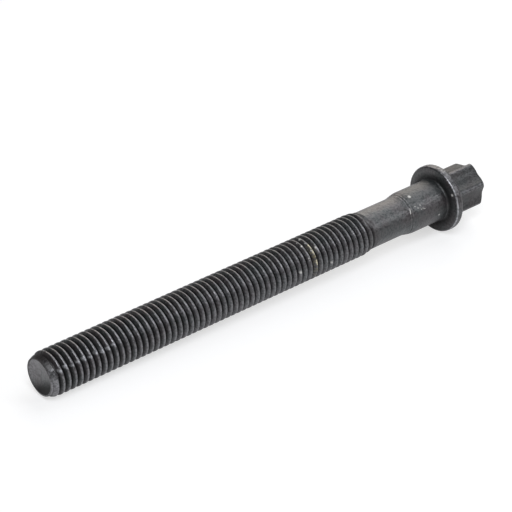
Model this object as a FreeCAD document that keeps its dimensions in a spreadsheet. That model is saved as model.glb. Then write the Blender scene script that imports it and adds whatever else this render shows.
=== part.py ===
import FreeCAD, Part
import Sketcher
import math
import os
import re

# Cylinder head bolt, one forged and thread-rolled steel piece, in millimetres.
# It is drawn standing on its point, with its axis on Z and the rim of the point at zero,
# and then laid down on a flat surface, on its flange and on the first crest of its thread.
# The threaded length is a plain cylinder over the crests of the thread.

SIZES = [
    ("reach", 110.0, "from the point to the bearing face under the head"),
    ("threadDiameter", 9.92, "over the crests of the M10 x 1.5 thread"),
    ("pointDiameter", 8.4, "outside of the rim of the point"),
    ("leadLength", 1.9, "tapered lead of the point"),
    ("pointRim", 0.35, "width of the rim round the dished end"),
    ("pointDish", 0.45, "depth of the dished end"),
    ("runOutLength", 3.4, "cone from the crests down to the waist"),
    ("waistDiameter", 8.9, "plain waist, which stretches when the bolt is tightened"),
    ("waistLength", 7.6, "parallel stretch of the waist"),
    ("shoulderTaper", 2.8, "cone from the waist up to the shoulder"),
    ("shoulderDiameter", 9.95, "centring shoulder under the head"),
    ("shoulderLength", 9.4, "parallel stretch of the shoulder, up to the bearing face"),
    ("underHeadRadius", 0.6, "fillet between the shoulder and the bearing face"),
    ("flangeDiameter", 15.8, "over the flange"),
    ("flangeWall", 1.85, "height of the outer wall of the flange"),
    ("flangeLowerRadius", 0.5, "rounding on the bearing side of the flange"),
    ("flangeUpperRadius", 0.8, "rounding on the head side of the flange"),
    ("flangeSlope", 30.0, "slope of the top of the flange, in degrees"),
    ("headHeight", 11.7, "from the bearing face to the end of the head"),
    ("lobeDiameter", 11.1, "over the six lobes of the drive"),
    ("valleyDepth", 1.2, "depth of the hollows between the lobes"),
    ("lobeRadius", 0.9, "rounding of each lobe"),
    ("endDiameter", 9.2, "flat left by the chamfer on the end of the head"),
    ("endChamfer", 30.0, "angle of that chamfer, in degrees"),
    ("endDishDiameter", 6.0, "shallow dish in the end of the head"),
    ("endDish", 0.4, "depth of that dish"),
    ("restTurn", 189.2, "turn of the lobes about the axis as the bolt lies, in degrees"),
]
LOBES = 6
SPARE = 1.0  # how far a cutting profile stands outside the metal
NEAR = 1e-4

os.makedirs("parts", exist_ok=True)
doc = FreeCAD.newDocument("cylinder_head_bolt")

sheet = doc.addObject("Spreadsheet::Sheet", "sizes")
for row, (alias, value, meaning) in enumerate(SIZES, start=1):
    sheet.set(f"A{row}", alias)
    sheet.set(f"B{row}", str(value))
    sheet.set(f"C{row}", meaning)
    sheet.setAlias(f"B{row}", alias)
doc.recompute()
aliases = {alias for alias, value, meaning in SIZES}

bolt = doc.addObject("PartDesign::Body", "head_bolt")
bolt.Label = "head_bolt"


def bound(formula):
    """The formula with each size in it written as its cell of the sheet."""
    return re.sub(r"[A-Za-z]+", lambda word: f"sizes.{word[0]}" if word[0] in aliases else word[0], formula)


def worth(formula):
    """What the formula comes to with the sizes as they are."""
    result = sheet.evalExpression(bound(formula))
    return float(getattr(result, "Value", result))


def addSketch(name, role):
    sketch = bolt.newObject("Sketcher::SketchObject", name)
    plane = next(feature for feature in bolt.Origin.OriginFeatures if feature.Role == role)
    sketch.AttachmentSupport = [(plane, "")]
    sketch.MapMode = "FlatFace"
    return sketch


def hold(sketch, kind, element, point, formula):
    """Holds one coordinate of a sketch point at a formula of the sizes."""
    if formula == "0":
        axis = -2 if kind == "DistanceX" else -1
        sketch.addConstraint(Sketcher.Constraint("PointOnObject", element, point, axis))
        return
    index = sketch.addConstraint(Sketcher.Constraint(kind, -1, 1, element, point, worth(formula)))
    sketch.setExpression(f"Constraints[{index}]", bound(formula))


def addOutline(sketch, corners):
    """A closed outline of straight lines, each corner held at its radius and its height."""
    spots = [FreeCAD.Vector(worth(radius), worth(height), 0) for radius, height in corners]
    first = sketch.GeometryCount
    for here, there in zip(spots, spots[1:] + spots[:1]):
        sketch.addGeometry(Part.LineSegment(here, there))
    for turn, (radius, height) in enumerate(corners):
        line, before = first + turn, first + (turn - 1) % len(corners)
        sketch.addConstraint(Sketcher.Constraint("Coincident", before, 2, line, 1))
        hold(sketch, "DistanceX", line, 1, radius)
        hold(sketch, "DistanceY", line, 1, height)


def turnedEdge(feature, radius, height):
    """The name of the round edge at a radius and a height."""
    spot = worth(radius), worth(height)
    for number, edge in enumerate(feature.Shape.Edges, start=1):
        curve = edge.Curve
        if isinstance(curve, Part.Circle) and abs(curve.Radius - spot[0]) < NEAR:
            if abs(curve.Center.z - spot[1]) < NEAR:
                return f"Edge{number}"
    raise SystemExit(f"no round edge at {radius}, {height}")


def addFillet(name, base, radius, height, rounding):
    fillet = bolt.newObject("PartDesign::Fillet", name)
    fillet.Base = (base, [turnedEdge(base, radius, height)])
    fillet.Radius = worth(rounding)
    fillet.setExpression("Radius", bound(rounding))
    doc.recompute()
    return fillet


# Shank and flange, turned about the axis: the thread has what the other stretches leave of the reach
shoulderStart = "reach - shoulderLength"
waistEnd = f"{shoulderStart} - shoulderTaper"
waistStart = f"{waistEnd} - waistLength"
threadEnd = f"{waistStart} - runOutLength"
flangeTop = "(reach + flangeWall)"
valleyReach = "(lobeDiameter / 2 - valleyDepth)"
coneRise = f"(flangeDiameter / 2 - {valleyReach}) * tan(flangeSlope * 1 deg)"
turned = addSketch("turned_profile", "XZ_Plane")
addOutline(
    turned,
    [
        ("0", "pointDish"),
        ("pointDiameter / 2 - pointRim", "0"),
        ("pointDiameter / 2", "0"),
        ("threadDiameter / 2", "leadLength"),
        ("threadDiameter / 2", threadEnd),
        ("waistDiameter / 2", waistStart),
        ("waistDiameter / 2", waistEnd),
        ("shoulderDiameter / 2", shoulderStart),
        ("shoulderDiameter / 2", "reach"),
        ("flangeDiameter / 2", "reach"),
        ("flangeDiameter / 2", flangeTop),
        (valleyReach, f"{flangeTop} + {coneRise}"),
        ("0", f"{flangeTop} + {coneRise}"),
    ],
)
shank = bolt.newObject("PartDesign::Revolution", "shank_and_flange")
shank.Profile = turned
shank.ReferenceAxis = (turned, ["V_Axis"])
shank.Angle = 360
doc.recompute()

underHead = addFillet("under_head_fillet", shank, "shoulderDiameter / 2", "reach", "underHeadRadius")
flangeLower = addFillet("flange_lower_edge", underHead, "flangeDiameter / 2", "reach", "flangeLowerRadius")
flangeUpper = addFillet("flange_upper_edge", flangeLower, "flangeDiameter / 2", flangeTop, "flangeUpperRadius")

# Six-lobed drive: round lobes and hollow valleys, each tangent to the next
lobeCentre = "(lobeDiameter / 2 - lobeRadius)"
halfStep = f"cos({180 / LOBES} deg)"
valleyRadius = (
    f"({valleyReach} ^ 2 + {lobeCentre} ^ 2 - 2 * {valleyReach} * {lobeCentre} * {halfStep}"
    f" - lobeRadius ^ 2) / (2 * (lobeRadius + {lobeCentre} * {halfStep} - {valleyReach}))"
)
lobes = addSketch("drive_outline", "XY_Plane")
lobes.AttachmentOffset = FreeCAD.Placement(FreeCAD.Vector(0, 0, worth(flangeTop)), FreeCAD.Rotation())
lobes.setExpression(".AttachmentOffset.Base.z", bound(flangeTop))
inner, outer, hollow = worth(lobeCentre), worth("lobeRadius"), worth(valleyRadius)
valleyCentre = worth(valleyReach) + hollow


def polar(radius, angle):
    return FreeCAD.Vector(radius * math.cos(angle), radius * math.sin(angle), 0)


def arcBetween(centre, radius, start, end):
    circle = Part.Circle(centre, FreeCAD.Vector(0, 0, 1), radius)
    return Part.ArcOfCircle(circle, *(math.atan2(p.y - centre.y, p.x - centre.x) for p in (start, end)))


step = math.pi / LOBES
middles = [polar(inner if turn % 2 == 0 else valleyCentre, turn * step) for turn in range(2 * LOBES)]
joins = []
for turn in range(2 * LOBES):
    share = outer / (outer + hollow) if turn % 2 == 0 else hollow / (outer + hollow)
    joins.append(middles[turn] + (middles[(turn + 1) % (2 * LOBES)] - middles[turn]) * share)
for turn in range(2 * LOBES):
    if turn % 2 == 0:
        lobes.addGeometry(arcBetween(middles[turn], outer, joins[turn - 1], joins[turn]))
    else:
        lobes.addGeometry(arcBetween(middles[turn], hollow, joins[turn], joins[turn - 1]))
for turn in range(0, 2 * LOBES, 2):
    after, before = turn + 1, (turn - 1) % (2 * LOBES)
    lobes.addConstraint(Sketcher.Constraint("Tangent", turn, 2, after, 2))
    lobes.addConstraint(Sketcher.Constraint("Tangent", turn, 1, before, 1))
    for kind, wave in (("DistanceX", "cos"), ("DistanceY", "sin")):
        flat = wave == "sin" and turn % LOBES == 0
        formula = "0" if flat else f"{lobeCentre} * {wave}({turn * 180 / LOBES} deg)"
        hold(lobes, kind, turn, 3, formula)
for first, rounding in ((0, "lobeRadius"), (1, valleyRadius)):
    index = lobes.addConstraint(Sketcher.Constraint("Radius", first, worth(rounding)))
    lobes.setExpression(f"Constraints[{index}]", bound(rounding))
    for turn in range(first + 2, 2 * LOBES, 2):
        lobes.addConstraint(Sketcher.Constraint("Equal", first, turn))

drive = bolt.newObject("PartDesign::Pad", "drive")
drive.Profile = lobes
drive.Length = worth("headHeight - flangeWall")
drive.setExpression("Length", bound("headHeight - flangeWall"))
doc.recompute()

# End of the head: chamfered all round, with a shallow dish
end = "(reach + headHeight)"
chamferRun = f"(lobeDiameter / 2 + {SPARE} - endDiameter / 2)"
headEnd = addSketch("head_end_profile", "XZ_Plane")
addOutline(
    headEnd,
    [
        ("endDiameter / 2", end),
        (f"lobeDiameter / 2 + {SPARE}", f"{end} - {chamferRun} * tan(endChamfer * 1 deg)"),
        (f"lobeDiameter / 2 + {SPARE}", end),
    ],
)
addOutline(headEnd, [("0", end), ("0", f"{end} - endDish"), ("endDishDiameter / 2", end)])
trimmed = bolt.newObject("PartDesign::Groove", "head_end")
trimmed.Profile = headEnd
trimmed.ReferenceAxis = (headEnd, ["V_Axis"])
trimmed.Angle = 360
doc.recompute()

# At rest the axis leans up to the head: the flange and the first full crest touch the surface
size = {alias: worth(alias) for alias in aliases}
crest = FreeCAD.Vector(size["leadLength"], size["threadDiameter"] / 2, 0)
edge = FreeCAD.Vector(
    size["reach"] + size["flangeLowerRadius"],
    size["flangeDiameter"] / 2 - size["flangeLowerRadius"],
    0,
)
across = edge - crest
lean = math.atan2(across.y, across.x) + math.asin(size["flangeLowerRadius"] / across.Length)
laid = FreeCAD.Rotation(FreeCAD.Vector(0, 1, 0), 90 - math.degrees(lean))
turnedLobes = FreeCAD.Rotation(FreeCAD.Vector(0, 0, 1), size["restTurn"])
pointReach = -size["pointDiameter"] / 2 * math.sin(lean)
headReach = worth(end) * math.cos(lean) + size["endDiameter"] / 2 * math.sin(lean)
bolt.Placement = FreeCAD.Placement(
    FreeCAD.Vector(
        -(pointReach + headReach) / 2,
        0,
        crest.y * math.cos(lean) - crest.x * math.sin(lean),
    ),
    laid.multiply(turnedLobes),
)
doc.recompute()

# Every feature is sound, each one adds or removes metal as it should, and the bolt is one solid
for item in doc.Objects:
    if "Invalid" in item.State or "Error" in item.State:
        raise SystemExit(f"{item.Name} failed: {item.State}")
for sketch in (turned, lobes, headEnd):
    if sketch.solve() != 0:
        raise SystemExit(f"{sketch.Name} isn't solved")
growth = [(shank, underHead, 1), (underHead, flangeLower, -1), (flangeLower, flangeUpper, -1)]
growth += [(flangeUpper, drive, 1), (drive, trimmed, -1)]
for before, after, sign in growth:
    if (after.Shape.Volume - before.Shape.Volume) * sign <= 0:
        raise SystemExit(f"{after.Name} took the wrong side")
shape = bolt.Shape
if shape.isNull() or not shape.isValid() or len(shape.Solids) != 1:
    raise SystemExit("head_bolt isn't one valid solid")

shape.exportStep(os.path.join("parts", f"{bolt.Label}.step"))
box = shape.optimalBoundingBox(False, False)
print(f"head_bolt: {shape.Volume:.2f} mm3, {len(shape.Faces)} faces, lean {math.degrees(lean):.3f} degrees")
print(f"box {box.XMin:.4f} {box.YMin:.4f} {box.ZMin:.4f} to {box.XMax:.4f} {box.YMax:.4f} {box.ZMax:.4f}")
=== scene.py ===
import math
import bmesh
import bpy
from mathutils import Euler, Matrix, Vector


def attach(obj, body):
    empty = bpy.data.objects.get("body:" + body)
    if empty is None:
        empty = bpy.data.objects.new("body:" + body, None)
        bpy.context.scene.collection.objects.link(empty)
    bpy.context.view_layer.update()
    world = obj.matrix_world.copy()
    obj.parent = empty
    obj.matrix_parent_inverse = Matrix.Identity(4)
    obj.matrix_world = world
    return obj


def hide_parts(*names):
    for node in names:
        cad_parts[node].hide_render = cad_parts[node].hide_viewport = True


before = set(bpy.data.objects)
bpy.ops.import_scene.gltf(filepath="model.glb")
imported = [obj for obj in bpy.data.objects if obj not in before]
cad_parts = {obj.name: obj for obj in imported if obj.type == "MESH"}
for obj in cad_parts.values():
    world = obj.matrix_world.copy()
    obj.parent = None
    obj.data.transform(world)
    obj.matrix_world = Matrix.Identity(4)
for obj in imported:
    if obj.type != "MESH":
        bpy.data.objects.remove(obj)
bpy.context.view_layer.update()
mm = 0.001

# The bolt is modelled standing on its point, with its axis on Z, and laid down at the end.
# Sizes are in mm and angles in degrees, here and in all that follows
bolt = {
    "reach": 110.0,  # from the point to the bearing face
    "pointDiameter": 8.4,
    "pointRim": 0.35,  # flat left round the dished end
    "pointDish": 0.65,
    "leadLength": 1.9,
    "waistDiameter": 8.9,
    "waistEnd": 97.8,
    "shoulderStart": 100.6,
    "shoulderDiameter": 9.95,
    "restTurn": 189.2,  # how far the lobes are turned about the axis as it lies
    "columns": 120,  # lines along the bolt, twenty to each lobe
}


def tidySelection():
    if bpy.context.object and bpy.context.object.mode != "OBJECT":
        bpy.ops.object.mode_set(mode="OBJECT")
    bpy.ops.object.select_all(action="DESELECT")


# A soft step from nought to one
def smooth(share):
    share = min(max(share, 0.0), 1.0)
    return share * share * (3 - 2 * share)


# Radius, angle in radians, and height
def polarOf(co):
    return math.hypot(co.x, co.y) / mm, math.atan2(co.y, co.x), co.z / mm


def putPolar(vert, radius, angle, height):
    vert.co = Vector((radius * math.cos(angle), radius * math.sin(angle), height)) * mm


# Leaves the form in edit mode with everything selected
def mergeDoubles():
    bpy.ops.object.mode_set(mode="EDIT")
    bpy.ops.mesh.select_mode(type="VERT")
    bpy.ops.mesh.select_all(action="SELECT")
    bpy.ops.mesh.remove_doubles(threshold=0.001 * mm)


# Rolled thread: one tooth drawn as a line of points, then screwed up the shank
thread = {
    "pitch": 1.5,
    "crestDiameter": 9.92,
    "rootDiameter": 8.2,
    "crestFlat": 0.36,
    "flank": 29.0,  # between a flank and the plane across the bolt
    "crestRounding": 0.09,
    "rootRounding": 0.06,
    "lastFull": 85.0,  # height of the last full crest
    "runOut": 3.6,
    "rimFade": 0.5,  # the grooves die out this far before the rim of the point
    "start": 0.82,  # height of a crest over the +X line, which sets where the helix begins
    "spareTurns": 2,  # cut off below the point and above the join
    "join": 92.0,  # height at which the thread's mesh hands over to the plain shank
}


# From one crest to the next, as (height, radius)
def toothOutline():
    crest, root = thread["crestDiameter"] / 2, thread["rootDiameter"] / 2
    half, slope = thread["crestFlat"] / 2, math.tan(math.radians(thread["flank"]))
    foot = half + (crest - root) * slope
    soft, hollow = thread["crestRounding"], thread["rootRounding"]
    side = [
        # over the rounded edge of the crest
        (half - soft * 0.6, crest - soft * 0.08),
        (half, crest - soft * 0.5),
        (half + soft * 0.9, crest - soft * 0.9 / slope),
        # down the flank and into the rounded root
        (foot - hollow * 0.6, root + hollow * 0.6 / slope + 0.01),
        (foot + hollow * 0.6, root + hollow * 0.3),
    ]
    far = [(thread["pitch"] - height, radius) for height, radius in reversed(side)]
    middle = (thread["pitch"] / 2, root)
    return [(0.0, crest)] + side + [middle] + far + [(thread["pitch"], crest)]


def makeThread():
    tidySelection()
    spare = thread["spareTurns"] * thread["pitch"]
    start = thread["start"] - spare
    points = [Vector((radius, 0, height + start)) * mm for height, radius in toothOutline()]
    bpy.ops.mesh.primitive_plane_add(size=mm, location=points[0])
    shank = bpy.context.object
    shank.name = "head_bolt_body"
    bpy.ops.object.transform_apply(location=True)
    bpy.ops.object.mode_set(mode="EDIT")
    bpy.ops.mesh.merge(type="CENTER")
    for here, there in zip(points, points[1:]):
        bpy.ops.mesh.extrude_vertices_move(TRANSFORM_OT_translate={"value": there - here})
    bpy.ops.object.mode_set(mode="OBJECT")
    screw = shank.modifiers.new("helix", "SCREW")
    screw.axis = "Z"
    screw.angle = math.tau
    screw.screw_offset = thread["pitch"] * mm
    screw.iterations = math.ceil((thread["join"] + 2 * spare) / thread["pitch"])
    screw.steps = screw.render_steps = bolt["columns"]
    screw.use_merge_vertices = True
    screw.merge_threshold = 0.0001 * mm
    bpy.ops.object.modifier_apply(modifier=screw.name)
    shapeThreadEnds(shank)
    return shank


# The lead of the point and the run-out: past both, each column ends in one point of a round rim
def shapeThreadEnds(shank):
    crest, waist = thread["crestDiameter"] / 2, bolt["waistDiameter"] / 2
    point, fade = bolt["pointDiameter"] / 2, thread["rimFade"]
    for vert in shank.data.vertices:
        radius, angle, height = polarOf(vert.co)
        height = min(max(height, 0.0), thread["join"])
        lead = point + (crest - point) * min(height / bolt["leadLength"], 1.0)
        radius = min(radius, lead)
        if height < fade:
            radius = lead + (radius - lead) * smooth(height / fade)
        away = smooth((height - thread["lastFull"]) / thread["runOut"])
        putPolar(vert, radius + (waist - radius) * away, angle, height)
    mergeDoubles()
    bpy.ops.object.mode_set(mode="OBJECT")


# Turned and lobed forms: a circle is extruded ring by ring. Each ring lists a point (x, y, height)
# for every column, and tip is how far past the last ring the form closes in one point
def turnRings(name, rings, tip):
    tidySelection()
    columns = bolt["columns"]
    bpy.ops.mesh.primitive_circle_add(vertices=columns, radius=mm, fill_type="NOTHING")
    form = bpy.context.object
    form.name = name
    bpy.ops.object.mode_set(mode="EDIT")
    bpy.ops.mesh.select_mode(type="EDGE")
    bpy.ops.mesh.select_all(action="SELECT")
    mesh = bmesh.from_edit_mesh(form.data)
    layer = mesh.verts.layers.int.new("column")
    for vert in mesh.verts:
        vert[layer] = round(math.atan2(vert.co.y, vert.co.x) / math.tau * columns) % columns
    for number, ring in enumerate(rings):
        if number:
            bpy.ops.mesh.extrude_region_move()
        mesh = bmesh.from_edit_mesh(form.data)
        layer = mesh.verts.layers.int["column"]
        for vert in mesh.verts:
            if vert.select:
                vert.co = Vector(ring[vert[layer]]) * mm
        bmesh.update_edit_mesh(form.data)
    bpy.ops.mesh.extrude_region_move()
    bpy.ops.transform.translate(value=(0, 0, tip * mm))
    bpy.ops.mesh.merge(type="CENTER")
    bpy.ops.object.mode_set(mode="OBJECT")
    form.data.attributes.remove(form.data.attributes["column"])
    return form


def roundRing(radius, height):
    columns = bolt["columns"]
    angles = [math.tau * column / columns for column in range(columns)]
    return [(radius * math.cos(angle), radius * math.sin(angle), height) for angle in angles]


# Rings round a quarter or less of a circle, its angles measured from the radius outwards
def roundCorner(centre, radius, start, end, steps=5):
    turns = [math.radians(start + (end - start) * step / steps) for step in range(steps + 1)]
    return [
        roundRing(centre[0] + radius * math.cos(turn), centre[1] + radius * math.sin(turn))
        for turn in turns
    ]


# A dish from its rim to its middle; a positive depth goes upwards
def dishRings(radius, rim, depth):
    shares = (0.985, 0.94, 0.86, 0.75, 0.6, 0.42, 0.22, 0.05)  # radii of the rings, closer at the rim
    return [roundRing(radius * share, rim + depth * (1 - share**2)) for share in shares]


# Dished end of the point, pressed in when the blank was sheared
def makePoint():
    outer = bolt["pointDiameter"] / 2
    inner = outer - bolt["pointRim"]
    rim = [
        roundRing(outer, 0.0),
        roundRing(outer - 0.07, -0.035),  # the edge is a little rounded
        roundRing(inner + 0.05, -0.03),
    ]
    return turnRings("point", rim + dishRings(inner, 0.0, bolt["pointDish"]), 0.002)


# Taper, shoulder, flange and drive
head = {
    "taperEase": 0.4,  # the shank begins to widen this far before the taper
    # rings of the taper: how far past its start and how far proud of it, with two fine turning marks
    "taper": (
        (-0.4, 0), (0, 0), (0.5, 0), (0.85, 0.01),
        (1.0, 0.02), (1.12, -0.03), (1.3, -0.03), (1.45, 0.01),
        (1.62, 0.02), (1.74, -0.03), (1.9, 0), (2.3, 0), (2.8, 0),
    ),
    "underHeadRadius": 0.6,
    "flangeDiameter": 15.8,
    "flangeWall": 1.85,
    "lowerRadius": 0.5,
    "upperRadius": 0.8,
    "slope": 30.0,  # of the cone on top of the flange
    "height": 11.7,  # from the bearing face to the end
    "lobeDiameter": 11.1,
    "valleyDepth": 1.2,
    "lobeRadius": 0.9,
    "footRounding": 0.5,  # where the drive grows out of the flange
    "edgeRounding": 0.12,
    "endDiameter": 9.2,
    "endChamfer": 30.0,
    "endDish": (3.0, 0.4),  # radius and depth
}


# From the thread to the cone on the flange. A ring close to each bend keeps the long faces straight
def shankRings():
    waist, shoulder = bolt["waistDiameter"] / 2, bolt["shoulderDiameter"] / 2
    reach, rounding = bolt["reach"], head["underHeadRadius"]
    end, full, ease = bolt["waistEnd"], bolt["shoulderStart"], head["taperEase"]
    rings = [roundRing(waist, thread["join"]), roundRing(waist, end - 0.8)]
    for along, proud in head["taper"]:
        share = (along + ease) / (full - end + ease)
        wide = waist + (shoulder - waist) * (smooth(share) + share) / 2
        rings.append(roundRing(wide + proud, end + along))
    rings += [roundRing(shoulder, full + 0.5), roundRing(shoulder, reach - rounding - 3.0)]
    rings += roundCorner((shoulder + rounding, reach - rounding), rounding, 180, 90)
    wide, lower, upper = head["flangeDiameter"] / 2, head["lowerRadius"], head["upperRadius"]
    rings.append(roundRing(wide - lower - 0.6, reach))
    rings += roundCorner((wide - lower, reach + lower), lower, -90, 0)
    slope = math.radians(head["slope"])
    top = reach + head["flangeWall"]
    centre = top + upper * ((1 - math.sin(slope)) * math.tan(slope) - math.cos(slope))
    return rings + roundCorner((wide - upper, centre), upper, 0, 90 - head["slope"])


# How high the cone on top of the flange stands at a radius
def coneHeight(radius):
    rise = (head["flangeDiameter"] / 2 - radius) * math.tan(math.radians(head["slope"]))
    return bolt["reach"] + head["flangeWall"] + rise


# The lobed outline, or one that much outside it, as (radius, angle) for every column.
# Lobes and valleys are arcs, each tangent to the next
def driveOutline(grow):
    step = math.pi / 6
    lobe, lobeCentre = head["lobeRadius"], head["lobeDiameter"] / 2 - head["lobeRadius"]
    valleyLow = head["lobeDiameter"] / 2 - head["valleyDepth"]
    near = lobeCentre * math.cos(step)
    valley = valleyLow**2 + lobeCentre**2 - 2 * valleyLow * near - lobe**2
    valley /= 2 * (lobe + near - valleyLow)
    valleyCentre = Vector((math.cos(step), math.sin(step))) * (valleyLow + valley)
    towards = valleyCentre - Vector((lobeCentre, 0))
    swing = math.atan2(towards.y, towards.x)  # how far the lobe's arc turns
    sweep = swing - step  # how far the valley's arc turns
    lobeRun, valleyRun = lobe * swing * 1.7, valley * sweep  # the tighter lobe gets more columns
    perHalf = bolt["columns"] // 12
    points = []
    for column in range(bolt["columns"]):
        period, place = divmod(column, 2 * perHalf)
        far = place > perHalf
        run = (2 * perHalf - place if far else place) / perHalf * (lobeRun + valleyRun)
        if run <= lobeRun:
            turn = swing * run / lobeRun
            spot = Vector((lobeCentre, 0)) + (lobe + grow) * Vector((math.cos(turn), math.sin(turn)))
        else:
            turn = swing + math.pi - sweep * (run - lobeRun) / valleyRun
            spot = valleyCentre + (valley - grow) * Vector((math.cos(turn), math.sin(turn)))
        angle = math.atan2(spot.y, spot.x)
        angle = 2 * step * (period + 1) - angle if far else 2 * step * period + angle
        points.append((spot.length, angle))
    return points


# One ring round the drive, no wider than widest; height says how high a point stands at its radius
def driveRing(grow, height, widest=math.inf):
    ring = []
    for radius, angle in driveOutline(grow):
        radius = min(radius, widest)
        ring.append((radius * math.cos(angle), radius * math.sin(angle), height(radius)))
    return ring


# From the cone on the flange to the middle of the dished end
def driveRings():
    foot, edge = head["footRounding"], head["edgeRounding"]
    end = bolt["reach"] + head["height"]
    flat, slope = head["endDiameter"] / 2, math.tan(math.radians(head["endChamfer"]))
    collar = head["lobeDiameter"] / 2 + 2 * foot + 0.05

    def rim(radius):
        return end - max(radius - flat, 0.0) * slope

    rings = [roundRing(collar, coneHeight(collar)), driveRing(foot + 0.15, coneHeight)]
    for share in (0.0, 0.25, 0.5, 0.75, 1.0):
        turn = math.pi / 2 * share
        grow, lift = foot * (1 - math.sin(turn)), foot * (1 - math.cos(turn))
        rings.append(driveRing(grow, lambda radius: coneHeight(radius) + lift))
    low, high = bolt["reach"] + head["flangeWall"] + 3.0, end - 1.2  # the straight part of the walls
    for share in (0.0, 0.33, 0.66, 1.0):
        rings.append(driveRing(0, lambda radius: low + (high - low) * share))
    rings.append(driveRing(0, lambda radius: rim(radius) - edge))
    rings.append(driveRing(-edge * 0.3, lambda radius: rim(radius) - edge * 0.3))
    rings.append(driveRing(-edge, rim))
    rings.append(driveRing(-2 * edge, lambda radius: end, flat))
    wide, deep = head["endDish"]
    rings += [roundRing(wide + 0.4, end), roundRing(wide, end)]
    return rings + dishRings(wide, end, -deep)


def joinBolt(pieces):
    tidySelection()
    for piece in pieces:
        piece.select_set(True)
    bpy.context.view_layer.objects.active = pieces[0]
    bpy.ops.object.join()
    whole = bpy.context.object
    mergeDoubles()
    bpy.ops.mesh.normals_make_consistent(inside=False)
    bpy.ops.object.mode_set(mode="OBJECT")
    return whole


# Lays the bolt down: the first full crest and the rounded edge of the flange touch the floor
def restMatrix():
    crest = Vector((bolt["leadLength"], thread["crestDiameter"] / 2))
    lower = head["lowerRadius"]
    across = Vector((bolt["reach"] + lower, head["flangeDiameter"] / 2 - lower)) - crest
    lean = math.atan2(across.y, across.x) + math.asin(lower / across.length)
    near = -bolt["pointDiameter"] / 2 * math.sin(lean)
    far = (bolt["reach"] + head["height"]) * math.cos(lean) + head["endDiameter"] / 2 * math.sin(lean)
    lift = crest.y * math.cos(lean) - crest.x * math.sin(lean)
    place = Matrix.Translation(Vector((-(near + far) / 2, 0, lift)) * mm)
    down = Matrix.Rotation(math.pi / 2 - lean, 4, "Y")
    return place @ down @ Matrix.Rotation(math.radians(bolt["restTurn"]), 4, "Z")


print("thread")
shank = makeThread()
print("point and head")
whole = joinBolt([shank, makePoint(), turnRings("head", shankRings() + driveRings(), -0.002)])


# Small marks of handling, each where the photo shows it. Angles are about the axis
marks = {
    # paint and metal flecks on the thread and the shank: height, angle and size
    "flecks": (
        (100.83, 9.7, 0.5),
        (100.52, 40.9, 0.16),
        (101.13, 47.7, 0.19),
        (101.99, 42.7, 0.17),
        (101.98, 53.9, 0.15),
        (102.47, 53.4, 0.16),
        (102.93, 56.3, 0.17),
        (107.14, 91.7, 0.28),
        (74.33, 88.7, 0.48),
        (65.3, 75.9, 0.5),
        (71.1, 88.6, 0.26),
        (69.45, -11.7, 0.4),
        (68.3, 13.4, 0.32),
        (69.5, 9.2, 0.32),
        (69.65, 34.0, 0.3),
        (68.24, 49.8, 0.26),
        (68.3, 56.0, 0.18),
        (68.2, 43.0, 0.16),
        (68.0, -3.0, 0.26),
        (71.16, 31.6, 0.42),
    ),
    "faceFleck": (6.98, 51.1, 0.42),  # one on the bearing face: radius, angle and size
    # a short scratch on the taper, as spots that run into each other: height and angle
    "scratch": ((99.13, 40.9), (99.06, 44.2), (99.0, 47.4), (98.94, 50.6), (98.87, 53.8)),
    "scratchSize": 0.2,
    "nicks": 10,  # crests bruised in a row, from the point on
    "nickAngle": 47.0,
    "nickAside": 2.5,  # how far one lies off the row, at most
    "nickWidth": 3.6,
    "nickUneven": 0.3,  # how much wider or narrower one is, at most
    "nickDepth": 0.08,
    # sealant dried on one turn of the thread, from one angle to the other
    "stainTurn": 46,
    "stainAngles": (12, 122),
    # and its chalky specks: height, angle and size
    "chalk": (
        (70.0, 18.4, 0.36),
        (70.03, 23.0, 0.28),
        (70.1, 27.0, 0.4),
        (70.05, 35.0, 0.2),
        (70.1, 40.0, 0.42),
        (70.15, 44.0, 0.3),
        (70.2, 52.0, 0.18),
        (70.18, 63.0, 0.3),
        (70.2, 68.0, 0.42),
        (70.24, 73.0, 0.3),
    ),
}

# How far each stretch is rubbed bright, or given a painted highlight or painted shade, from nought to one,
# and on which side
wear = {
    "leadLitSide": 120.0,  # the lead of the point has a painted highlight on this side and painted shade on the other
    "leadHighlight": 0.95,
    "leadShade": 0.6,
    "dishShadedSide": 140.0,  # the dished end has painted shade on this side and a painted highlight on the other
    "dishHighlight": 0.45,
    "dishShade": 0.85,
    "crestRubbed": (0.75, 0.4),  # at the point and towards the head, where the crests are rounder
    "roundedFrom": 70.0,  # height from which they are as round as they get
    "highlightRowSide": 42.0,  # a painted highlight along a row of crests down the thread
    "highlightRowWidth": 11.0,
    "shadeThinsFrom": 60.0,  # height from which the painted shade in the roots reaches least far up the flanks
    "turnedEdges": (1.0, 1.62),  # edges of the turning marks on the taper, past its start
    "turnedMiddle": 1.3,
    # a painted highlight on the edges of the turning marks and painted shade in their groove
    "turnedHighlight": 0.45,
    "turnedShade": 0.3,
    "shankShadeSide": 76.0,  # painted shade in a band along the lower side of the shank
    "shankShadeWidth": 24.0,
    "shankShade": 0.25,
    "shoulderShadeSide": -30.0,  # the shoulder has a little painted shade on this side too
    "shoulderShade": 0.14,
    "filletShade": (0.3, 0.8),  # painted shade in the corner under the head, from the shank outwards
    "faceShade": 0.25,  # painted shade on the bearing face and the rim of the flange
    # painted shade over the whole drive
    "driveShade": 0.45,
    "lobeRubbed": 0.3,
    "lowerEdgeRubbed": 0.9,
    "upperEdgeHighlight": (0.05, 0.35),  # a painted highlight on the upper edge of the flange: the least, and the most on the side named next
    "upperEdgeLitSide": 5.0,
    "edgeBare": (0.2, 0.55),  # bare steel on the lower edge: the least, and the most past the next angle
    "edgeBareSide": 15.0,
}


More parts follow.
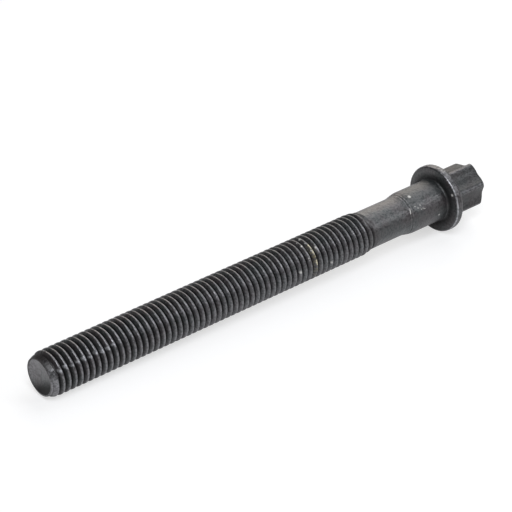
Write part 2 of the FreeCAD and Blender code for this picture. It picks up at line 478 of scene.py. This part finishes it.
# Stores a number on every point, worked out from its radius, its angle in radians and its height
def setShares(form, name, share):
    layer = form.data.attributes.new(name, "FLOAT", "POINT")
    for vert, entry in zip(form.data.vertices, layer.data):
        entry.value = share(*polarOf(vert.co))


# One on the named side of the bolt, less round to the other, where it is minus one
def facing(angle, side):
    return math.cos(angle - math.radians(side))


# The dished end of the point
def inDish(radius, height):
    return height < bolt["leadLength"] and radius < bolt["pointDiameter"] / 2 - bolt["pointRim"]


# Crests bruised in a row, each a little aside of the last and a little wider or narrower: over so few of
# them the two sines don't repeat
def nickShare(radius, angle, height):
    turn = math.degrees(angle)
    number = round((height - thread["start"]) / thread["pitch"] - turn / 360)
    if not 0 < number <= marks["nicks"] or radius < thread["rootDiameter"] / 2 + 0.3:
        return 0.0
    middle = marks["nickAngle"] + marks["nickAside"] * math.sin(number * 2.4)
    width = marks["nickWidth"] * (1 + marks["nickUneven"] * math.sin(number * 1.7))
    deep = smooth((radius - thread["crestDiameter"] / 2 + 0.4) / 0.3)
    return smooth(1.5 - abs(turn - middle) / width) * deep


# Where bare steel shows: the nicks and the thin edge round the bearing face
def bareShare(radius, angle, height):
    least, most = wear["edgeBare"]
    edge = smooth((radius - head["flangeDiameter"] / 2 + 0.2) / 0.08) * (height < bolt["reach"] + 0.4)
    along = least + (most - least) * smooth((math.degrees(angle) - wear["edgeBareSide"]) / 40)
    return max(nickShare(radius, angle, height), edge * along)


# One on the upper side of the thread, where the crests' rubbed metal is painted wider as a highlight and
# the flanks get less painted shade
def upperLightShare(angle):
    return smooth((wear["highlightRowSide"] - math.degrees(angle)) / 60 + 0.4)


# The crests, rubbed to metal: thin and bright near the point, wide and dull near the head, brightest along
# the row, where a painted highlight is added
def threadRubbedAndLit(radius, angle, height):
    near, far = wear["crestRubbed"]
    spread = smooth(height / wear["roundedFrom"])
    upper = upperLightShare(angle) * spread
    # a painted highlight along one row of crests
    row = smooth(1.3 - abs(math.degrees(angle) - wear["highlightRowSide"]) / wear["highlightRowWidth"])
    share = near + (far - near) * spread - 0.12 * upper + 0.25 * (1 + spread) * row
    below = 0.1 + 0.22 * spread + 0.2 * upper + 0.06 * row  # how far down from the crest it reaches
    soft = 0.08 + 0.14 * spread + 0.15 * upper
    return share * smooth((radius - thread["crestDiameter"] / 2 + below) / soft)


# Where handling has rubbed the coat: crests, lobes and the lower edge of the flange; and painted
# highlights: on the lead, the dished end, a row of crests, the edges of the turning marks and the upper
# edge of the flange
def rubbedAndLitShare(radius, angle, height):
    wide, reach = head["flangeDiameter"] / 2, bolt["reach"]
    # the dished end: a painted highlight on the side away from its painted shade
    if inDish(radius, height):
        across = radius / (bolt["pointDiameter"] / 2 - bolt["pointRim"])
        return wear["dishHighlight"] * smooth(0.5 - across * facing(angle, wear["dishShadedSide"]))
    # the lead of the point: a painted highlight on one side
    if height < bolt["leadLength"]:
        side = smooth(facing(angle, wear["leadLitSide"]) * 1.5)
        return wear["leadHighlight"] * side * smooth((radius - thread["rootDiameter"] / 2) / 0.15)
    if height < thread["lastFull"] + 1:
        return threadRubbedAndLit(radius, angle, height)
    if height < reach - 1:  # waist, taper and shoulder
        # a painted highlight along the edges of the turning marks
        away = min(abs(height - bolt["waistEnd"] - edge) for edge in wear["turnedEdges"])
        return wear["turnedHighlight"] * smooth(1 - away / 0.12)
    if height < reach + 0.4:  # round the bearing face
        return wear["lowerEdgeRubbed"] * smooth((radius - wide + 0.2) / 0.1)
    if height > reach + head["flangeWall"] + 1.4:  # above the foot of the drive
        return wear["lobeRubbed"] * smooth((radius - head["lobeDiameter"] / 2 + 0.14) / 0.1)
    least, most = wear["upperEdgeHighlight"]  # and the rest of the flange, with a painted highlight on its upper edge
    top = smooth(1.2 - abs(math.degrees(angle) - wear["upperEdgeLitSide"]) / 50)
    return (least + (most - least) * top) * smooth((radius - wide + 0.25) / 0.2)


# Painted shade, as a darker copy of the coat: on one side of the dished end and of the lead,
# in the thread's roots, along the shank, in the corner under the head, and over the flange and the drive
def paintedShadeShare(radius, angle, height):
    crest, root, reach = thread["crestDiameter"] / 2, thread["rootDiameter"] / 2, bolt["reach"]
    # the dished end: painted shade on one side
    if inDish(radius, height):
        across = radius / (bolt["pointDiameter"] / 2 - bolt["pointRim"])
        return wear["dishShade"] * smooth((across * facing(angle, wear["dishShadedSide"]) - 0.1) / 0.6)
    # the lead: painted shade on the other side
    if height < bolt["leadLength"]:
        return wear["leadShade"] * (1 - smooth(facing(angle, wear["leadLitSide"]) * 1.5))
    # painted shade in the roots of the thread, up the flanks less far towards the head and on the upper
    # side
    if height < thread["lastFull"] + thread["runOut"]:
        unshaded = 0.06 + (0.37 + 0.25 * upperLightShare(angle)) * smooth(height / wear["shadeThinsFrom"])
        return smooth(((crest - radius) / (crest - root) - unshaded) / 0.34)
    if height < reach - 1:  # waist, taper and shoulder
        aside = abs(math.degrees(angle) - wear["shankShadeSide"])
        # painted shade in a band along the lower side of the shank
        shankShade = wear["shankShade"] * smooth((wear["shankShadeWidth"] - aside) / 14)
        along = height - bolt["waistEnd"]
        # a little painted shade on the upper side of the shoulder
        above = wear["shoulderShade"] * smooth((facing(angle, wear["shoulderShadeSide"]) - 0.4) / 0.4)
        # painted shade in the groove of the turning marks
        turned = wear["turnedShade"] * smooth(1.4 - abs(along - wear["turnedMiddle"]) / 0.2)
        return max(shankShade + above * smooth(along / 2), turned)
    outward, rounding = radius - bolt["shoulderDiameter"] / 2, head["underHeadRadius"]
    # painted shade in the corner under the head
    if abs(height - reach) < rounding + 0.05 and outward < rounding + 0.2:
        inner, outer = wear["filletShade"]
        return inner + (outer - inner) * smooth(outward / 0.25)
    if height > reach + head["flangeWall"] + 0.8:  # the drive and its foot
        # painted shade over the drive and its foot
        return wear["driveShade"]
    # painted shade on the bearing face and the rest of the flange
    return wear["faceShade"] if height > reach - 0.1 else 0.0


# A yellow-brown smear of old sealant along one turn of the thread
def stainShare(radius, angle, height):
    turn = math.degrees(angle)
    start, end = marks["stainAngles"]
    along = smooth((turn - start) / 15) * smooth((end - turn) / 25)
    ridge = thread["start"] + thread["pitch"] * (marks["stainTurn"] + turn / 360)
    return along * smooth((0.62 - abs(height - ridge)) / 0.2)


def pressNicks(form):
    for vert in form.data.vertices:
        radius, angle, height = polarOf(vert.co)
        putPolar(vert, radius - marks["nickDepth"] * nickShare(radius, angle, height), angle, height)


# The form's place goes into its mesh, and edges sharper than a rounding stay crisp
def layDown(form):
    form.matrix_world = restMatrix()
    tidySelection()
    form.select_set(True)
    bpy.context.view_layer.objects.active = form
    bpy.ops.object.transform_apply(location=True, rotation=True, scale=True)
    bpy.ops.object.shade_smooth_by_angle(angle=math.radians(35))


print("wear")
setShares(whole, "crest", rubbedAndLitShare)
setShares(whole, "hollow", paintedShadeShare)
setShares(whole, "stain", stainShare)
setShares(whole, "bare", bareShare)
pressNicks(whole)
layDown(whole)


# A written sRGB colour as the shader's own values
def linear(code):
    parts = [int(code[k : k + 2], 16) / 255 for k in (1, 3, 5)]
    return [c / 12.92 if c <= 0.04045 else ((c + 0.055) / 1.055) ** 2.4 for c in parts] + [1.0]


# One node, with its settings and what feeds its sockets. A socket whose name isn't the only one of its
# kind on the node goes by its number
def addNode(tree, kind, settings=None, links=None):
    node = tree.nodes.new(kind)
    for name, value in (settings or {}).items():
        if isinstance(name, int) or name in node.inputs:
            node.inputs[name].default_value = value
        else:
            setattr(node, name, value)
    for name, source in (links or {}).items():
        tree.links.new(source, node.inputs[name])
    return node


def makeMaterial(name):
    material = bpy.data.materials.new(name)
    material.use_nodes = True
    material.node_tree.nodes.clear()
    return material, material.node_tree


# Manganese phosphate over forged steel, oiled: a nearly black, finely crystalline coat with a dull sheen,
# rubbed to grey metal on the crests, with painted highlights beside that, and painted shade near black in
# the roots of the thread
coat = {
    "colour": "#2a2326",
    "otherColour": "#212728",  # cooler patches where the coat is thinner
    "patch": 3.5,  # across them
    "ior": 2.0,  # between the phosphate's 1.7 and the black iron oxide's 2.4
    "grain": 0.5,  # across a crystal patch; real ones are a tenth of that and wouldn't show
    "grainDepth": 0.12,
    "sheen": 0.12,  # crystals and dust that catch light along the edges of what is seen
    # grey metal where rubbed, also used for the painted highlights
    "wornColour": "#949396",
    "wornRoughness": 0.3,
    # painted shade: a near-black, rougher copy of the coat
    "soakedColour": "#090909",
    "soakedRoughness": 0.75,
    "soakedSpecular": 0.25,
}
# what the noise of the grain is turned into: between its low and high, from the first value to the second
grainRanges = {
    "roughness": (0.3, 0.7, 0.28, 0.46),
    "specular": (0.35, 0.65, 0.3, 0.64),
    "smeared": (0.46, 0.6, 0.0, 1.0),  # breaks up the sealant
    "rubbed": (0.4, 0.6, 0.4, 1.25),  # and the rubbed and bare metal, with the painted highlights
}
# what lies on the coat: colour, metallic and roughness
markFinishes = {
    "stain": ("#6f6850", 0.0, 0.45),
    "bare": ("#c3c4c8", 0.6, 0.4),
    "chalk": ("#d8d0b6", 0.0, 0.7),
    "fleck": ("#d9d7d2", 0.0, 0.5),
}


# A place on the bolt as it lies
def onBolt(radius, angle, height):
    turn = math.radians(angle)
    return restMatrix() @ (Vector((radius * math.cos(turn), radius * math.sin(turn), height)) * mm)


# Centre and size of every pale fleck, with the scratch
def fleckSpots():
    crest, taper = thread["crestDiameter"] / 2, bolt["waistDiameter"] / 2 + 0.18
    spots = [(onBolt(crest, angle, height), size) for height, angle, size in marks["flecks"]]
    spots += [(onBolt(taper, angle, height), marks["scratchSize"]) for height, angle in marks["scratch"]]
    radius, angle, size = marks["faceFleck"]
    return spots + [(onBolt(radius, angle, bolt["reach"]), size)]


def chalkSpots():
    crest = thread["crestDiameter"] / 2
    return [(onBolt(crest, angle, height), size) for height, angle, size in marks["chalk"]]


# One inside any of the spots and nought well away from them
def nearSpots(tree, place, spots):
    found = None
    for centre, size in spots:
        away = addNode(tree, "ShaderNodeVectorMath", {"operation": "DISTANCE", 1: centre}, {0: place})
        edge = {"From Min": size * mm, "From Max": size * 0.35 * mm}  # it fades over the outer two thirds
        near = addNode(tree, "ShaderNodeMapRange", edge, {"Value": away.outputs["Value"]}).outputs[0]
        if found:
            near = addNode(tree, "ShaderNodeMath", {"operation": "MAXIMUM"}, {0: found, 1: near}).outputs[0]
        found = near
    return found


def phosphatedSteel():
    material, tree = makeMaterial("phosphatedSteel")
    place = addNode(tree, "ShaderNodeTexCoord").outputs["Object"]
    shares = {}
    for name in ("crest", "hollow", "stain", "bare"):
        shares[name] = addNode(tree, "ShaderNodeAttribute", {"attribute_name": name}).outputs["Fac"]

    grain = addNode(
        tree,
        "ShaderNodeTexNoise",
        {"Scale": 1 / (coat["grain"] * mm), "Detail": 3.0},
        {"Vector": place},
    ).outputs["Fac"]
    patches = addNode(
        tree,
        "ShaderNodeTexNoise",
        {"Scale": 1 / (coat["patch"] * mm), "Detail": 2.0},
        {"Vector": place},
    ).outputs["Fac"]
    thin = addNode(tree, "ShaderNodeMapRange", {"From Min": 0.4, "From Max": 0.6}, {"Value": patches})
    colours = {"data_type": "RGBA", 6: linear(coat["colour"]), 7: linear(coat["otherColour"])}
    colour = addNode(tree, "ShaderNodeMix", colours, {0: thin.outputs[0]}).outputs[2]
    relief = addNode(tree, "ShaderNodeBump", {"Distance": coat["grainDepth"] * mm}, {"Height": grain})
    ranges = {}
    for name, (low, high, first, second) in grainRanges.items():
        span = {"From Min": low, "From Max": high, "To Min": first, "To Max": second}
        ranges[name] = addNode(tree, "ShaderNodeMapRange", span, {"Value": grain}).outputs[0]

    # rubbed metal with its painted highlights, bare metal and the sealant are broken up by the grain
    for name, broken in (("crest", "rubbed"), ("bare", "rubbed"), ("stain", "smeared")):
        both = {0: shares[name], 1: ranges[broken]}
        shares[name] = addNode(tree, "ShaderNodeMath", {"operation": "MULTIPLY"}, both).outputs[0]
    shares["chalk"] = nearSpots(tree, place, chalkSpots())
    shares["fleck"] = nearSpots(tree, place, fleckSpots())

    found = addNode(
        tree,
        "ShaderNodeBsdfPrincipled",
        {"IOR": coat["ior"], "Sheen Weight": coat["sheen"]},
        {
            "Base Color": colour,
            "Roughness": ranges["roughness"],
            "Specular IOR Level": ranges["specular"],
            "Normal": relief.outputs["Normal"],
        },
    )
    shadeCoat = addNode(
        tree,
        "ShaderNodeBsdfPrincipled",
        {
            "Base Color": linear(coat["soakedColour"]),
            "Roughness": coat["soakedRoughness"],
            "Specular IOR Level": coat["soakedSpecular"],
        },
    )
    wornAndHighlight = addNode(
        tree,
        "ShaderNodeBsdfPrincipled",
        {"Base Color": linear(coat["wornColour"]), "Metallic": 1.0, "Roughness": coat["wornRoughness"]},
        {"Normal": relief.outputs["Normal"]},
    )
    layers = [(shares["hollow"], shadeCoat), (shares["crest"], wornAndHighlight)]
    for name, (paint, metallic, roughness) in markFinishes.items():
        finish = {"Base Color": linear(paint), "Metallic": metallic, "Roughness": roughness}
        layers.append((shares[name], addNode(tree, "ShaderNodeBsdfPrincipled", finish)))
    for share, shader in layers:
        parts = {0: share, 1: found.outputs[0], 2: shader.outputs[0]}
        found = addNode(tree, "ShaderNodeMixShader", links=parts)
    addNode(tree, "ShaderNodeOutputMaterial", links={"Surface": found.outputs[0]})
    return material


print("finish")
whole.data.materials.clear()
whole.data.materials.append(phosphatedSteel())
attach(whole, "root")
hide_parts("head_bolt")

# Floor and light
stage = {
    "floorSize": 1.8,  # metres
    "floorColour": "#e6e6e6",
    "floorSeen": "#b7b7b7",  # the camera sees a darker paint under a glow, which keeps the shadow faint
    "floorGlow": 0.615,
    "floorShine": 0.1,  # what the bolt mirrors of the floor beyond its own light
    "worldStrength": 0.12,
}
# each lamp: its size and place in metres, and how bright its face looks
lamps = {
    "backSoftbox": {"size": 0.75, "place": (0.62, 0.66, 0.5), "glow": 1.85, "tint": "#fff8f0"},
    "rightSoftbox": {"size": 0.65, "place": (0.5, 0.05, 0.75), "glow": 1.5, "tint": "#f9fbff"},
    "frontSoftbox": {"size": 0.3, "place": (0.5, -0.58, 0.46), "glow": 4.6, "tint": "#f9fbff"},
    "topSoftbox": {"size": 0.5, "place": (-0.35, -0.45, 0.8), "glow": 7.0, "tint": "#f9fbff"},
}


# Matt white paint, which shows no mirror image of the bolt and only a soft shadow
def makeFloor():
    tidySelection()
    bpy.ops.mesh.primitive_plane_add(size=stage["floorSize"])
    floor = bpy.context.object
    floor.name = "floor"
    material, tree = makeMaterial("mattWhitePaint")
    light = addNode(tree, "ShaderNodeLightPath")
    camera, glossy = light.outputs["Is Camera Ray"], light.outputs["Is Glossy Ray"]
    colours = {"data_type": "RGBA", 6: linear(stage["floorColour"]), 7: linear(stage["floorSeen"])}
    colour = addNode(tree, "ShaderNodeMix", colours, {0: camera}).outputs[2]
    paint = addNode(tree, "ShaderNodeBsdfDiffuse", links={"Color": colour})
    shine = {"operation": "MULTIPLY", 1: stage["floorShine"]}
    mirrored = addNode(tree, "ShaderNodeMath", shine, {0: glossy}).outputs[0]
    seen = {"operation": "MULTIPLY_ADD", 1: stage["floorGlow"]}
    strength = addNode(tree, "ShaderNodeMath", seen, {0: camera, 2: mirrored}).outputs[0]
    glow = addNode(tree, "ShaderNodeEmission", {"Color": (1, 1, 1, 1)}, {"Strength": strength})
    both = addNode(tree, "ShaderNodeAddShader", links={0: paint.outputs[0], 1: glow.outputs[0]})
    addNode(tree, "ShaderNodeOutputMaterial", links={"Surface": both.outputs[0]})
    floor.data.materials.append(material)


# White where the camera looks past the floor, and faint as a light on the bolt
def makeWorld():
    world = bpy.data.worlds.new("studio")
    bpy.context.scene.world = world
    world.use_nodes = True
    tree = world.node_tree
    tree.nodes.clear()
    camera = addNode(tree, "ShaderNodeLightPath").outputs["Is Camera Ray"]
    white = (1, 1, 1, 1)
    faint = addNode(tree, "ShaderNodeBackground", {"Color": white, "Strength": stage["worldStrength"]})
    full = addNode(tree, "ShaderNodeBackground", {"Color": white, "Strength": 1.0})
    parts = {0: camera, 1: faint.outputs[0], 2: full.outputs[0]}
    mixed = addNode(tree, "ShaderNodeMixShader", links=parts)
    addNode(tree, "ShaderNodeOutputWorld", links={"Surface": mixed.outputs[0]})


# A square softbox aimed at the bolt; its power comes from how bright its face looks
def makeLamp(name, size, place, glow, tint):
    tidySelection()
    bpy.ops.object.light_add(type="AREA", location=place)
    lamp = bpy.context.object
    lamp.name = name
    lamp.data.shape = "SQUARE"
    lamp.data.size = size
    lamp.data.energy = glow * math.pi * size**2
    lamp.data.color = linear(tint)[:3]
    lamp.rotation_euler = (-Vector(place)).to_track_quat("-Z", "Y").to_euler()


# The camera, at the photograph's viewing angle
view = {
    "place": (-258.01, -300.18, 232.24),
    "elevation": 29.23,
    "heading": -40.238,
    "lens": 148.17,
    "sensor": 36.0,
    "clipStart": 10.0,
}


def makeCamera():
    tidySelection()
    turn = Euler((math.radians(90 - view["elevation"]), 0, math.radians(view["heading"])))
    bpy.ops.object.camera_add(location=Vector(view["place"]) * mm, rotation=turn)
    camera = bpy.context.object
    camera.data.sensor_fit = "HORIZONTAL"
    camera.data.sensor_width = view["sensor"]
    camera.data.lens = view["lens"]
    camera.data.clip_start = view["clipStart"] * mm
    bpy.context.scene.camera = camera


print("stage")
makeFloor()
makeWorld()
for name, lamp in lamps.items():
    makeLamp(name, **lamp)
print("camera")
makeCamera()
bpy.context.scene.view_settings.view_transform = "Standard"
